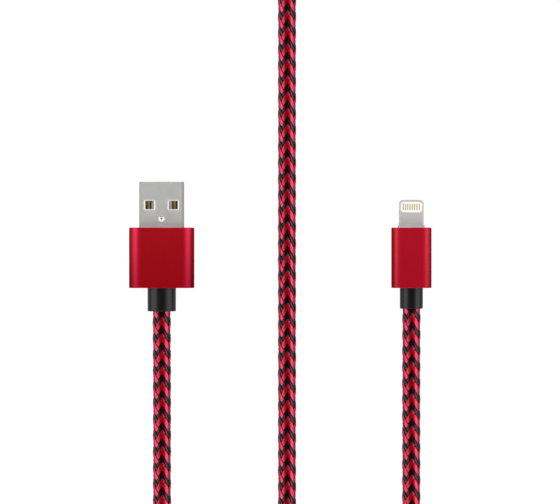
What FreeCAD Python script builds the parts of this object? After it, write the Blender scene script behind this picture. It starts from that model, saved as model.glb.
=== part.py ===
import FreeCAD, Part
import math
import os

# A charging cable lying on a table: a USB-A plug at one end, an eight-pin
# plug at the other, and a limp braided cord between them.
# Millimetres. Z is up and the table is at zero. The USB plug points along +Y,
# and the origin is the middle of its footprint.
# The eight-pin plug lies to the right of it, pointing the same way.

Vector = FreeCAD.Vector

# Cord
cord_diameter = 4.7
jacket_diameter = 3.8
core_diameter = 3.0
wire_diameter = 0.9
floor_gap = 0.1

# USB plug: housing and collar
usb_housing_width = 17.57
usb_housing_thickness = 8.4
usb_housing_length = 16.3
usb_housing_corner = 3.3
usb_housing_wall = 0.9
usb_collar_diameter = 7.64
usb_collar_length = 6.3

# USB plug: steel shell
usb_shell_width = 12.0
usb_shell_height = 4.5
usb_shell_sheet = 0.3
usb_shell_corner = 0.5
usb_shell_exposed = 12.4
usb_shell_length = 18.75
usb_window_width = 2.47
usb_window_length = 2.25
usb_window_setback = 5.2
usb_window_offset = 3.2
usb_window_corner = 0.15
usb_window_rim = 0.32
usb_peg_diameter = 1.85
usb_peg_setback = 9.97
usb_peg_dimple = 0.57
usb_peg_slot_width = 0.95
usb_peg_slot_length = 0.22
usb_peg_slot_offset = 0.56

# USB plug: insulator and contacts
usb_tongue_thickness = 1.85
usb_tongue_setback = 0.5
usb_cavity_depth = 9.0
usb_channel_width = 1.5
usb_channel_depth = 0.4
usb_contact_width = 1.0
usb_contact_thickness = 0.3
usb_power_pin_offset = 3.5
usb_data_pin_offset = 1.0
usb_power_pin_setback = 1.2
usb_data_pin_setback = 2.2
usb_shelf_length = 2.4
usb_seam_width = 0.06

# Eight-pin plug: housing and collar
connector_x = 67.5
connector_housing_width = 10.8
connector_housing_thickness = 7.0
connector_housing_length = 16.3
connector_housing_corner = 2.6
connector_housing_wall = 0.8
connector_collar_diameter = 6.22
connector_collar_length = 5.6

# Eight-pin plug: metal tip
tip_width = 6.7
tip_thickness = 1.5
tip_exposed = 7.5
tip_corner = 1.1
tip_edge_round = 0.35
tip_window_width = 5.8
tip_window_length = 2.9
tip_window_setback = 0.5
tip_window_corner = 0.85
tip_step_length = 0.8
tip_step_width = 7.1
tip_step_thickness = 1.9
tip_flange_width = 8.4
tip_flange_thickness = 3.6
tip_flange_length = 1.6
tip_latch_radius = 0.7
tip_latch_depth = 0.3
tip_latch_height = 0.7
tip_latch_setback = 4.4

# Eight-pin plug: insert, contacts and board
insert_recess = 0.05
tip_contact_count = 8
tip_contact_pitch = 0.615
tip_contact_width = 0.36
tip_contact_length = 1.7
tip_contact_thickness = 0.2
tip_contact_setback = 1.05
board_width = 5.2
board_thickness = 0.6
board_front_setback = 0.6
board_rear_length = 7.0
can_width = 8.0
can_height = 4.2
can_length = 6.6
can_sheet = 0.2
chip_width = 2.6
chip_length = 2.4
chip_height = 0.7
capacitor_width = 0.5
capacitor_length = 0.9
capacitor_height = 0.45
capacitor_count = 3
capacitor_pitch = 0.85
part_spacing = 0.6
board_pad_offset = 1.4

# Shared by both plugs
rear_wall = 1.0
front_recess = 0.3
edge_chamfer = 0.15
collar_end_round = 0.25
bore_clearance = 0.05
crimp_sheet = 0.35
crimp_length = 2.4
jacket_overrun = 3.0
core_overrun = 1.0
front_wall = 0.5
wire_spread = 0.62
arc_share = 0.45
solder_width = 0.8
solder_length = 1.3
solder_height = 0.75
solder_round = 0.32

# Hank: two layers of one drawn-in loop, held by a strap
hank_fold_radius = 14.2
hank_layer_step = 5.2
hank_waist_step = 5.3
hank_left = 33.86
hank_right = 112.5
hank_bottom = 68.7
tie_width = 6.0
tie_thickness = 0.6
tie_clearance = 0.4
tie_tail_length = 9.0

# The hank's arcs are drawn in steps: three round each fold, two along each flank.
# The cord climbs a layer along the seventh arc and a third of the next.
hank_fold_step_count = 3
hank_flank_step_count = 2
hank_low_arc_count = 6
hank_climb_share = 1 / 3

# A length below "nothing" counts as none. The second is the spacing of the
# points along a tube that are compared to find its gap to itself.
nothing = 1e-6
compare_step = 1.5

# Worked out from the sizes above: the cord and the USB plug
cord_radius = cord_diameter / 2
floor_level = cord_radius + floor_gap
crimp_diameter = jacket_diameter + 2 * crimp_sheet
usb_axis = usb_housing_thickness / 2
usb_front = (usb_shell_exposed + usb_housing_length + usb_collar_length) / 2
usb_housing_front = usb_front - usb_shell_exposed
usb_housing_rear = usb_housing_front - usb_housing_length
usb_rear = usb_housing_rear - usb_collar_length
usb_shell_rear = usb_front - usb_shell_length
usb_pocket_rear = usb_housing_rear + rear_wall
usb_jacket_front = usb_pocket_rear + jacket_overrun
usb_core_front = usb_jacket_front + core_overrun
usb_shelf_rear = usb_shell_rear - usb_shelf_length
tongue_top = usb_axis - usb_shell_height / 2 + usb_shell_sheet + usb_tongue_thickness
usb_tail_top = tongue_top - usb_channel_depth + usb_contact_thickness
usb_pins = [("power", -usb_power_pin_offset, usb_power_pin_setback),
            ("data_minus", -usb_data_pin_offset, usb_data_pin_setback),
            ("data_plus", usb_data_pin_offset, usb_data_pin_setback),
            ("ground", usb_power_pin_offset, usb_power_pin_setback)]

# Worked out: the eight-pin plug
connector_axis = connector_housing_thickness / 2
connector_housing_front = usb_housing_front
connector_housing_rear = connector_housing_front - connector_housing_length
connector_rear = connector_housing_rear - connector_collar_length
connector_pocket_rear = connector_housing_rear + rear_wall
connector_jacket_front = connector_pocket_rear + jacket_overrun
connector_core_front = connector_jacket_front + core_overrun
tip_front = connector_housing_front + tip_exposed
flange_front = connector_housing_front - front_recess - front_wall
flange_rear = flange_front - tip_flange_length
board_rear = flange_rear - board_rear_length
can_rear = flange_rear - can_length

# Worked out: the hank
hank_half_length = (hank_right - hank_left) / 2
hank_centre_x = (hank_right + hank_left) / 2
hank_centre_y = hank_bottom + hank_fold_radius + cord_radius
hank_floor = tie_thickness + tie_clearance + cord_radius
hank_top = hank_floor + hank_layer_step
hank_end_level = hank_centre_y - cord_diameter

# The cord's route on the table, as the corners of its straight runs.
# First from the USB plug, round a bend and up to the hank.
lead_turn = -88.0
lead_points = [
    Vector(0, usb_rear, usb_axis),
    Vector(0, -23.5, usb_axis),
    Vector(0, -36.0, floor_level),
    Vector(0, lead_turn, floor_level),
    Vector(hank_left, lead_turn, floor_level),
    Vector(hank_left, 44.0, floor_level),
    Vector(hank_left, 65.0, hank_floor),
    Vector(hank_left, hank_end_level, hank_floor),
]
# Then from the hank, down and round to the eight-pin plug.
tail_turn = -92.0
tail_points = [
    Vector(hank_right, hank_end_level, hank_top),
    Vector(hank_right, 62.0, hank_top),
    Vector(113.6, 27.0, floor_level),
    Vector(114.4, -28.0, floor_level),
    Vector(112.0, tail_turn, floor_level),
    Vector(connector_x, tail_turn, floor_level),
    Vector(connector_x, -34.0, floor_level),
    Vector(connector_x, -23.0, connector_axis),
    Vector(connector_x, connector_rear, connector_axis),
]


# Simple solids

def box(x_low, x_high, y_low, y_high, z_low, z_high):
    corner = Vector(x_low, y_low, z_low)
    return Part.makeBox(x_high - x_low, y_high - y_low, z_high - z_low, corner)


def rod(diameter, y_rear, y_front, x, z):
    return Part.makeCylinder(diameter / 2, y_front - y_rear, Vector(x, y_rear, z), Vector(0, 1, 0))


def sleeve(outer, inner, y_rear, y_front, x, z):
    return rod(outer, y_rear, y_front, x, z).cut(rod(inner, y_rear, y_front, x, z))


def corner_arc(centre, radius, quarter):
    """A quarter circle in the XZ plane, the first of the four from +X up to +Z."""
    points = []
    for share in (0, 0.5, 1):
        turn = math.pi / 2 * (quarter + share)
        points.append(centre + Vector(radius * math.cos(turn), 0, radius * math.sin(turn)))
    return Part.Arc(*points).toShape()


def bar(width, height, corner, y_rear, y_front, x, z):
    """A bar along Y whose section is a rectangle with rounded corners."""
    if corner <= 0:
        half = width / 2
        return box(x - half, x + half, y_rear, y_front, z - height / 2, z + height / 2)
    across = width / 2 - corner
    up = height / 2 - corner
    arcs = []
    for quarter, (side_x, side_z) in enumerate(((1, 1), (-1, 1), (-1, -1), (1, -1))):
        centre = Vector(x + side_x * across, y_rear, z + side_z * up)
        arcs.append(corner_arc(centre, corner, quarter))
    edges = []
    for index, arc in enumerate(arcs):
        following = arcs[(index + 1) % len(arcs)]
        leave = arc.Vertexes[-1].Point
        arrive = following.Vertexes[0].Point
        edges.append(arc)
        if leave.distanceToPoint(arrive) > nothing:
            edges.append(Part.LineSegment(leave, arrive).toShape())
    face = Part.Face(Part.Wire(edges))
    return face.extrude(Vector(0, y_front - y_rear, 0))


def plate(width, corner, y_rear, y_front, x, z_low, z_high):
    """A flat plate whose two front corners, seen from above, are rounded."""
    half = width / 2
    rear_left = Vector(x - half, y_rear, z_low)
    rear_right = Vector(x + half, y_rear, z_low)
    right_start = Vector(x + half, y_front - corner, z_low)
    right_end = Vector(x + half - corner, y_front, z_low)
    left_start = Vector(x - half + corner, y_front, z_low)
    left_end = Vector(x - half, y_front - corner, z_low)
    bulge = corner * (1 - math.sqrt(0.5))
    right_middle = Vector(x + half - bulge, y_front - bulge, z_low)
    left_middle = Vector(x - half + bulge, y_front - bulge, z_low)
    edges = [
        Part.LineSegment(rear_left, rear_right).toShape(),
        Part.LineSegment(rear_right, right_start).toShape(),
        Part.Arc(right_start, right_middle, right_end).toShape(),
        Part.LineSegment(right_end, left_start).toShape(),
        Part.Arc(left_start, left_middle, left_end).toShape(),
        Part.LineSegment(left_end, rear_left).toShape(),
    ]
    return Part.Face(Part.Wire(edges)).extrude(Vector(0, 0, z_high - z_low))


def rounded_opening(width, length, corner, y_front, x, z_low, z_high):
    """A block with four rounded upright edges, to cut a window with."""
    block = box(x - width / 2, x + width / 2, y_front - length, y_front, z_low, z_high)
    upright = [edge for edge in block.Edges
               if edge.BoundBox.XLength < nothing and edge.BoundBox.YLength < nothing]
    return block.makeFillet(corner, upright)


def outline_at(shape, y):
    """The outer edges of the flat face that lies at one Y."""
    faces = [face for face in shape.Faces
             if face.BoundBox.YLength < nothing and abs(face.CenterOfMass.y - y) < nothing]
    widest = max(faces, key=lambda face: face.OuterWire.BoundBox.XLength)
    return widest.OuterWire.Edges


def fuse_all(solids):
    return solids[0].multiFuse(solids[1:]).removeSplitter()


def cut_all(shape, tools):
    for tool in tools:
        shape = shape.cut(tool)
    return shape


# Paths and tubes

def arc_from(start, direction, end):
    """The arc that leaves start along direction and reaches end."""
    chord = end - start
    span = chord.Length
    chord.normalize()
    quarter = direction.getAngle(chord) / 2
    if quarter < nothing:
        return Part.LineSegment(start, end).toShape()
    lean = direction + chord
    lean.normalize()
    middle = start + lean * (span / (2 * math.cos(quarter)))
    return Part.Arc(start, middle, end).toShape()


def biarc(start, leave, end, arrive):
    """Two tangent arcs from start to end that keep both directions."""
    chord = end - start
    total = leave + arrive
    spread = 1 - leave.dot(arrive)
    along = chord.dot(total)
    if spread < nothing ** 2:
        if abs(along) < nothing:
            return [Part.LineSegment(start, end).toShape()]
        reach = chord.dot(chord) / (2 * along)
    else:
        root = math.sqrt(along * along + 2 * spread * chord.dot(chord))
        reach = (root - along) / (2 * spread)
    joint = (start + end) * 0.5 + (leave - arrive) * (reach / 2)
    side = joint - (start + leave * reach)
    if side.Length < nothing:
        return [Part.LineSegment(start, end).toShape()]
    side.normalize()
    return [arc_from(start, leave, joint), arc_from(joint, side, end)]


def tangent_path(points, name):
    """Straight runs joined by tangent arcs, each as large as its runs allow."""
    runs = [after - before for before, after in zip(points, points[1:])]
    edges = []
    radii = []
    start = points[0]
    for corner, before, after in zip(points[1:], runs, runs[1:]):
        turn = before.getAngle(after)
        shorter = min(before.Length, after.Length)
        setback = arc_share * shorter
        radii.append(setback / math.tan(turn / 2))
        leave = Vector(before).normalize()
        arrive = Vector(after).normalize()
        arc_start = corner - leave * setback
        arc_end = corner + arrive * setback
        edges.append(Part.LineSegment(start, arc_start).toShape())
        edges.append(arc_from(arc_start, leave, arc_end))
        start = arc_end
    edges.append(Part.LineSegment(start, points[-1]).toShape())
    print(name, "radii", " ".join("%.1f" % radius for radius in radii))
    return Part.Wire(edges)


def tube(path, diameter, direction):
    """A solid round tube along a path that starts in a given direction."""
    section = Part.makeCircle(diameter / 2, path.OrderedVertexes[0].Point, direction)
    return path.makePipeShell([Part.Wire(section)], True, False)


def check_tube(name, solid, path):
    expected = math.pi * cord_radius ** 2 * path.Length
    print(name, "length %.1f" % path.Length, "volume ratio %.4f" % (solid.Volume / expected),
          "lowest %.3f" % solid.optimalBoundingBox(True, False).ZMin)


# Pieces that both plugs have

def pocket(width, thickness, corner, wall, y_rear, y_front, x, z):
    """The space inside a housing's walls, between two places along it."""
    return bar(width - 2 * wall, thickness - 2 * wall, corner - wall, y_rear, y_front, x, z)


def housing(width, thickness, corner, wall, collar_diameter, y_rear, y_front, x, z):
    """Red aluminium sleeve, open at the front, with a round hole behind."""
    body = bar(width, thickness, corner, y_rear, y_front, x, z)
    ends = outline_at(body, y_front) + outline_at(body, y_rear)
    body = body.makeChamfer(min(edge_chamfer, wall / 2), ends)
    space = pocket(width, thickness, corner, wall, y_rear + rear_wall, y_front, x, z)
    hole = rod(collar_diameter + 2 * bore_clearance, y_rear, y_rear + rear_wall, x, z)
    return cut_all(body, [space, hole])


def collar(diameter, y_rear, y_front, x, z):
    """Black collar round the cord, with a rounded rim where the cord leaves."""
    body = rod(diameter, y_rear, y_front, x, z)
    wall = (diameter - cord_diameter) / 2
    body = body.makeFillet(min(collar_end_round, wall / 2), outline_at(body, y_rear))
    return body.cut(rod(cord_diameter + 2 * bore_clearance, y_rear, y_front, x, z))


def solder(x, y_rear, z):
    """A low bead of solder that holds a wire's bare end on its pad."""
    half = solder_width / 2
    bead = box(x - half, x + half, y_rear, y_rear + solder_length, z, z + solder_height)
    top = [edge for edge in bead.Edges
           if edge.BoundBox.ZMin > z + solder_height / 2
           and edge.BoundBox.YLength > solder_length / 2]
    return bead.makeFillet(min(solder_round, solder_width / 2 - nothing), top)


def cord_end(name, y_rear, sleeve_front, jacket_front, core_front, x, z):
    """The cord inside a plug, stripped in steps: sleeve, jacket, then core."""
    return {
        name + "_sleeve_end": sleeve(cord_diameter, jacket_diameter, y_rear, sleeve_front, x, z),
        name + "_jacket_end": sleeve(jacket_diameter, core_diameter, y_rear, jacket_front, x, z),
        name + "_core_end": rod(core_diameter, y_rear, core_front, x, z),
    }


# USB plug

def usb_inner_mould():
    """White moulding that holds the shell, the joints and the cord's end."""
    body = pocket(usb_housing_width, usb_housing_thickness, usb_housing_corner, usb_housing_wall,
                  usb_pocket_rear, usb_housing_front - front_recess, 0, usb_axis)
    shell_seat = bar(usb_shell_width, usb_shell_height, usb_shell_corner,
                     usb_shell_rear, usb_housing_front, 0, usb_axis)
    room = bar(usb_shell_width - 2 * usb_shell_sheet, usb_shell_height - 2 * usb_shell_sheet, 0,
               usb_jacket_front, usb_shell_rear, 0, usb_axis)
    crimp_seat = rod(crimp_diameter, usb_pocket_rear, usb_jacket_front, 0, usb_axis)
    return cut_all(body, [shell_seat, room, crimp_seat])


def usb_shell():
    """Folded steel shell with two windows in each broad face."""
    outer = bar(usb_shell_width, usb_shell_height, usb_shell_corner,
                usb_shell_rear, usb_front, 0, usb_axis)
    inner_corner = usb_shell_corner - usb_shell_sheet
    inner = bar(usb_shell_width - 2 * usb_shell_sheet, usb_shell_height - 2 * usb_shell_sheet,
                inner_corner, usb_shell_rear, usb_front, 0, usb_axis)
    nose = outer.makeChamfer(usb_shell_sheet / 2, outline_at(outer, usb_front))
    shell = nose.cut(inner)
    for side in (-1, 1):
        x = side * usb_window_offset
        front = usb_front - usb_window_setback
        window = rounded_opening(usb_window_width, usb_window_length, usb_window_corner,
                                 front, x, 0, 2 * usb_axis)
        shell = shell.cut(window)
        for face in (-1, 1):
            shell = shell.cut(window_rim(x, front, face))
    peg_y = usb_front - usb_peg_setback
    peg_hole = Part.makeCylinder(usb_peg_diameter / 2, usb_axis,
                                 Vector(0, peg_y, usb_axis), Vector(0, 0, 1))
    seam = box(-usb_seam_width / 2, usb_seam_width / 2, usb_shell_rear, usb_front, 0, usb_axis)
    return shell.cut(peg_hole).cut(seam)


def window_rim(x, front, face):
    """The pressed rim round a window, sloping from the face down half the sheet."""
    surface = usb_axis + face * usb_shell_height / 2
    floor = surface - face * usb_shell_sheet / 2
    wires = []
    for height, grow in ((floor, 0), (surface, usb_window_rim)):
        block = rounded_opening(usb_window_width + 2 * grow, usb_window_length + 2 * grow,
                                usb_window_corner + grow, front + grow, x,
                                height, height + usb_shell_sheet)
        lowest = min(block.Faces, key=lambda side: side.CenterOfMass.z)
        wires.append(lowest.OuterWire)
    return Part.makeLoft(wires, True, True)


def usb_contact(x, setback):
    """One gold contact: a flat spring strip from the tongue to its tail."""
    half = usb_contact_width / 2
    floor = tongue_top - usb_channel_depth
    return box(x - half, x + half, usb_shelf_rear, usb_front - setback,
               floor, floor + usb_contact_thickness)


def usb_tongue():
    """White insulator: thin tongue in front, full block behind, then a shelf."""
    half = usb_shell_width / 2 - usb_shell_sheet
    low = usb_axis - usb_shell_height / 2 + usb_shell_sheet
    high = usb_axis + usb_shell_height / 2 - usb_shell_sheet
    block_front = usb_front - usb_cavity_depth
    tongue = box(-half, half, block_front, usb_front - usb_tongue_setback, low, tongue_top)
    block = box(-half, half, usb_shell_rear, block_front, low, high)
    shelf = box(-half, half, usb_shelf_rear, usb_shell_rear, low, usb_tail_top)
    inner_corner = usb_shell_corner - usb_shell_sheet
    limit = bar(2 * half, high - low, inner_corner, usb_shelf_rear, usb_front, 0, usb_axis)
    peg_y = usb_front - usb_peg_setback
    peg = Part.makeCylinder(usb_peg_diameter / 2 - bore_clearance, usb_shell_sheet / 2,
                            Vector(0, peg_y, high), Vector(0, 0, 1))
    dimple = Part.makeCylinder(usb_peg_dimple / 2, usb_shell_sheet,
                               Vector(0, peg_y, high), Vector(0, 0, 1))
    slot_y = peg_y + usb_peg_slot_offset
    slot = box(-usb_peg_slot_width / 2, usb_peg_slot_width / 2, slot_y - usb_peg_slot_length / 2,
               slot_y + usb_peg_slot_length / 2, high, high + usb_shell_sheet)
    body = fuse_all([tongue, block, shelf]).common(limit)
    body = cut_all(body.fuse(peg), [dimple, slot])
    for name, x, setback in usb_pins:
        reach = usb_channel_width / 2
        channel = box(x - reach, x + reach, block_front, usb_front - setback,
                      tongue_top - usb_channel_depth, tongue_top)
        body = body.cut(channel).cut(usb_contact(x, setback))
    return body


def usb_wire(x, side_x, side_z):
    """One insulated wire from the cord's core to a contact's tail."""
    start = Vector(side_x * wire_spread, usb_core_front, usb_axis + side_z * wire_spread)
    end = Vector(x, usb_shelf_rear, usb_tail_top + wire_diameter / 2)
    ahead = Vector(0, 1, 0)
    path = Part.Wire(biarc(start, ahead, end, ahead))
    return tube(path, wire_diameter, ahead)


# Eight-pin plug

def tip_flange():
    return bar(tip_flange_width, tip_flange_thickness, 0, flange_rear, flange_front,
               connector_x, connector_axis)


def tip_step():
    return bar(tip_step_width, tip_step_thickness, tip_edge_round, flange_front,
               connector_housing_front + tip_step_length, connector_x, connector_axis)


def tip_bore():
    """The slot through the frame that the board and its insert run in."""
    return bar(board_width, board_thickness, 0, flange_rear, tip_front - board_front_setback,
               connector_x, connector_axis)


def tip_window(depth):
    """The rounded window in both broad faces, less a margin on each face."""
    return rounded_opening(tip_window_width, tip_window_length, tip_window_corner,
                           tip_front - tip_window_setback, connector_x,
                           connector_axis - depth, connector_axis + depth)


def connector_tip_frame():
    """Metal frame of the eight-pin tip, with its step and hidden flange."""
    half = tip_thickness / 2
    blade = plate(tip_width, tip_corner, connector_housing_front, tip_front, connector_x,
                  connector_axis - half, connector_axis + half)
    rim = outline_ring(blade, connector_axis + half) + outline_ring(blade, connector_axis - half)
    blade = blade.makeFillet(tip_edge_round, rim)
    frame = fuse_all([blade, tip_step(), tip_flange()])
    frame = frame.cut(tip_window(tip_thickness)).cut(tip_bore())
    for side in (-1, 1):
        notch_x = connector_x + side * (tip_width / 2 - tip_latch_depth + tip_latch_radius)
        notch = Part.makeCylinder(tip_latch_radius, tip_latch_height,
                                  Vector(notch_x, tip_front - tip_latch_setback,
                                         connector_axis - tip_latch_height / 2))
        frame = frame.cut(notch)
    return frame


def outline_ring(shape, z):
    """The round and side edges, not the rear one, of the face at one height."""
    ring = []
    for edge in shape.Edges:
        bound = edge.BoundBox
        flat = bound.ZLength < nothing and abs(bound.ZMin - z) < nothing
        if flat and bound.YMax > connector_housing_front + nothing:
            ring.append(edge)
    return ring


def tip_contacts(face):
    """Eight gold pads on one broad face of the tip, in one row."""
    pads = []
    half = tip_contact_width / 2
    front = tip_front - tip_contact_setback
    surface = connector_axis + face * (tip_thickness / 2 - insert_recess / 2)
    inner = surface - face * tip_contact_thickness
    middle = (tip_contact_count - 1) / 2
    for index in range(tip_contact_count):
        x = connector_x + (index - middle) * tip_contact_pitch
        pads.append(box(x - half, x + half, front - tip_contact_length, front,
                        min(surface, inner), max(surface, inner)))
    return pads


def connector_board():
    half = board_width / 2
    return box(connector_x - half, connector_x + half, board_rear, tip_front - board_front_setback,
               connector_axis - board_thickness / 2, connector_axis + board_thickness / 2)


def connector_insert():
    """White plastic that fills the window round the board and the contacts."""
    body = tip_window(tip_thickness / 2 - insert_recess)
    return cut_all(body, [connector_board()] + tip_contacts(1) + tip_contacts(-1))


def connector_shield_can():
    """Folded metal can round the board, seated on the back of the flange."""
    outer = bar(can_width, can_height, 0, can_rear, flange_rear, connector_x, connector_axis)
    inner = bar(can_width - 2 * can_sheet, can_height - 2 * can_sheet, 0, can_rear, flange_rear,
                connector_x, connector_axis)
    return outer.cut(inner)


def connector_chip():
    low = connector_axis + board_thickness / 2
    half = chip_width / 2
    front = flange_rear - part_spacing
    return box(connector_x - half, connector_x + half, front - chip_length, front,
               low, low + chip_height)


def connector_capacitors():
    """A short row of capacitors under the board."""
    high = connector_axis - board_thickness / 2
    front = flange_rear - part_spacing
    middle = (capacitor_count - 1) / 2
    blocks = []
    for index in range(capacitor_count):
        x = connector_x + (index - middle) * capacitor_pitch
        blocks.append(box(x - capacitor_width / 2, x + capacitor_width / 2,
                          front - capacitor_length, front, high - capacitor_height, high))
    return blocks


def connector_wire(x, side_x, side_z):
    """One insulated wire from the cord's core to a pad on the board."""
    start = Vector(connector_x + side_x * wire_spread, connector_core_front,
                   connector_axis + side_z * wire_spread)
    level = connector_axis + side_z * (board_thickness + wire_diameter) / 2
    end = Vector(x, board_rear, level)
    ahead = Vector(0, 1, 0)
    path = Part.Wire(biarc(start, ahead, end, ahead))
    return tube(path, wire_diameter, ahead)


def connector_inner_mould():
    """Moulding between the can and the housing, closed round the tip."""
    body = pocket(connector_housing_width, connector_housing_thickness, connector_housing_corner,
                  connector_housing_wall, connector_pocket_rear,
                  connector_housing_front - front_recess, connector_x, connector_axis)
    can_seat = bar(can_width, can_height, 0, can_rear, flange_rear, connector_x, connector_axis)
    room = bar(can_width - 2 * can_sheet, can_height - 2 * can_sheet, 0,
               connector_jacket_front, can_rear, connector_x, connector_axis)
    crimp_seat = rod(crimp_diameter, connector_pocket_rear, connector_jacket_front,
                     connector_x, connector_axis)
    return cut_all(body, [tip_flange(), tip_step(), can_seat, room, crimp_seat])


# Cord

def loop_arcs():
    """One drawn-in loop, clockwise from its left end, as centre, radius,
    start angle and sweep. Left turns have a positive sweep."""
    waist = hank_waist_step / 2
    fold = hank_fold_radius
    reach = hank_half_length - fold
    flank = (reach ** 2 + waist ** 2 - fold ** 2) / (2 * (fold - waist))
    lean = math.acos((waist + flank) / (flank + fold))
    quarter = math.pi / 2
    return [
        (-reach, 0, fold, math.pi, -(quarter + lean)),
        (0, waist + flank, flank, -quarter - lean, lean),
        (0, waist + flank, flank, -quarter, lean),
        (reach, 0, fold, quarter + lean, -(quarter + lean)),
        (reach, 0, fold, 0, -(quarter + lean)),
        (0, -waist - flank, flank, quarter - lean, lean),
        (0, -waist - flank, flank, quarter, lean),
        (-reach, 0, fold, -quarter + lean, -(quarter + lean)),
    ]


def hank_knots():
    """Points and directions along the hank, from where the cord enters at the
    left to where it leaves at the right, a loop and a half later. It climbs
    to the second layer along the lower run, past the waist."""
    loop = loop_arcs()
    arcs = loop + loop[:len(loop) // 2]
    lengths = [radius * abs(sweep) for x, y, radius, start, sweep in arcs]
    climb_start = sum(lengths[:hank_low_arc_count])
    climb_end = climb_start + lengths[hank_low_arc_count]
    climb_end += lengths[hank_low_arc_count + 1] * hank_climb_share
    stations = []
    travelled = 0
    for (x, y, radius, start, sweep), whole in zip(arcs, lengths):
        steps = hank_fold_step_count if abs(sweep) > math.pi / 2 else hank_flank_step_count
        for step in range(steps):
            angle = start + sweep * step / steps
            stations.append((x, y, radius, angle, sweep, travelled + whole * step / steps))
        travelled += whole
    x, y, radius, start, sweep = arcs[-1]
    stations.append((x, y, radius, start + sweep, sweep, travelled))
    knots = []
    for x, y, radius, angle, sweep, length in stations:
        share = min(1, max(0, (length - climb_start) / (climb_end - climb_start)))
        height = hank_floor + hank_layer_step * share * share * (3 - 2 * share)
        slope = 6 * share * (1 - share) * hank_layer_step / (climb_end - climb_start)
        turn = math.copysign(1, sweep)
        heading = Vector(-turn * math.sin(angle), turn * math.cos(angle), slope)
        heading.normalize()
        point = Vector(hank_centre_x + x + radius * math.cos(angle),
                       hank_centre_y + y + radius * math.sin(angle), height)
        knots.append((point, heading))
    return knots


def hank_path():
    knots = hank_knots()
    first, ahead = knots[0]
    last, onward = knots[-1]
    edges = [Part.LineSegment(first - ahead * cord_diameter, first).toShape()]
    for (start, leave), (end, arrive) in zip(knots, knots[1:]):
        edges += biarc(start, leave, end, arrive)
    edges.append(Part.LineSegment(last, last + onward * cord_diameter).toShape())
    return Part.Wire(edges)


def least_gap(path):
    """Smallest distance between the surfaces of two parts of one tube."""
    points = path.discretize(Distance=compare_step)
    skip = int(4 * cord_diameter / compare_step)
    least = min(first.distanceToPoint(second)
                for index, first in enumerate(points)
                for second in points[index + skip:])
    return least - cord_diameter


def hull_wire(centres, radius, x):
    """The tight band round three circles, given anticlockwise, as a wire."""
    edges = []
    count = len(centres)
    for index in range(count):
        here = centres[index]
        following = centres[(index + 1) % count]
        before = centres[index - 1]
        out_before = math.atan2(here[1] - before[1], here[0] - before[0]) - math.pi / 2
        out_after = math.atan2(following[1] - here[1], following[0] - here[0]) - math.pi / 2
        sweep = (out_after - out_before) % (2 * math.pi)
        points = [Vector(x, here[0] + radius * math.cos(out_before + sweep * share),
                         here[1] + radius * math.sin(out_before + sweep * share))
                  for share in (0, 0.5, 1)]
        edges.append(Part.Arc(*points).toShape())
        landing = Vector(x, following[0] + radius * math.cos(out_after),
                         following[1] + radius * math.sin(out_after))
        edges.append(Part.LineSegment(points[2], landing).toShape())
    return Part.Wire(edges)


def hank_tie():
    """Strap round the waist of the hank, its free end lying on the slope."""
    waist = hank_waist_step / 2
    runs = [(hank_centre_y - waist, hank_floor), (hank_centre_y + waist, hank_floor),
            (hank_centre_y + waist, hank_top)]
    x = hank_centre_x - tie_width / 2
    inner = cord_radius + tie_clearance
    outer = inner + tie_thickness
    width = Vector(tie_width, 0, 0)
    band = Part.Face(hull_wire(runs, outer, x)).extrude(width)
    band = band.cut(Part.Face(hull_wire(runs, inner, x)).extrude(width))
    slope = Vector(0, runs[0][0] - runs[2][0], runs[0][1] - runs[2][1]).normalize()
    away = Vector(0, slope.z, -slope.y)
    if away.z < 0:
        away = away * -1
    top = Vector(x, runs[2][0], runs[2][1]) + away * outer
    corners = [top, top + slope * tie_tail_length,
               top + slope * tie_tail_length + away * tie_thickness, top + away * tie_thickness]
    tail = Part.Face(Part.makePolygon(corners + corners[:1])).extrude(width)
    return band.fuse(tail).removeSplitter()


def usb_pieces():
    pieces = {
        "usb_shell": usb_shell(),
        "usb_tongue": usb_tongue(),
        "usb_inner_mould": usb_inner_mould(),
        "usb_housing": housing(usb_housing_width, usb_housing_thickness, usb_housing_corner,
                               usb_housing_wall, usb_collar_diameter, usb_housing_rear,
                               usb_housing_front, 0, usb_axis),
        "usb_collar": collar(usb_collar_diameter, usb_rear, usb_pocket_rear, 0, usb_axis),
        "usb_crimp": sleeve(crimp_diameter, jacket_diameter, usb_pocket_rear,
                            usb_pocket_rear + crimp_length, 0, usb_axis),
    }
    beads = []
    for name, x, setback in usb_pins:
        pieces["usb_contact_" + name] = usb_contact(x, setback)
        beads.append(solder(x, usb_shelf_rear, usb_tail_top))
    pieces["usb_solder_joints"] = Part.makeCompound(beads)
    pieces["usb_wire_red"] = usb_wire(-usb_power_pin_offset, -1, -1)
    pieces["usb_wire_white"] = usb_wire(-usb_data_pin_offset, -1, 1)
    pieces["usb_wire_green"] = usb_wire(usb_data_pin_offset, 1, 1)
    pieces["usb_wire_black"] = usb_wire(usb_power_pin_offset, 1, -1)
    pieces.update(cord_end("usb", usb_rear, usb_pocket_rear, usb_jacket_front, usb_core_front,
                           0, usb_axis))
    return pieces


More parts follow.
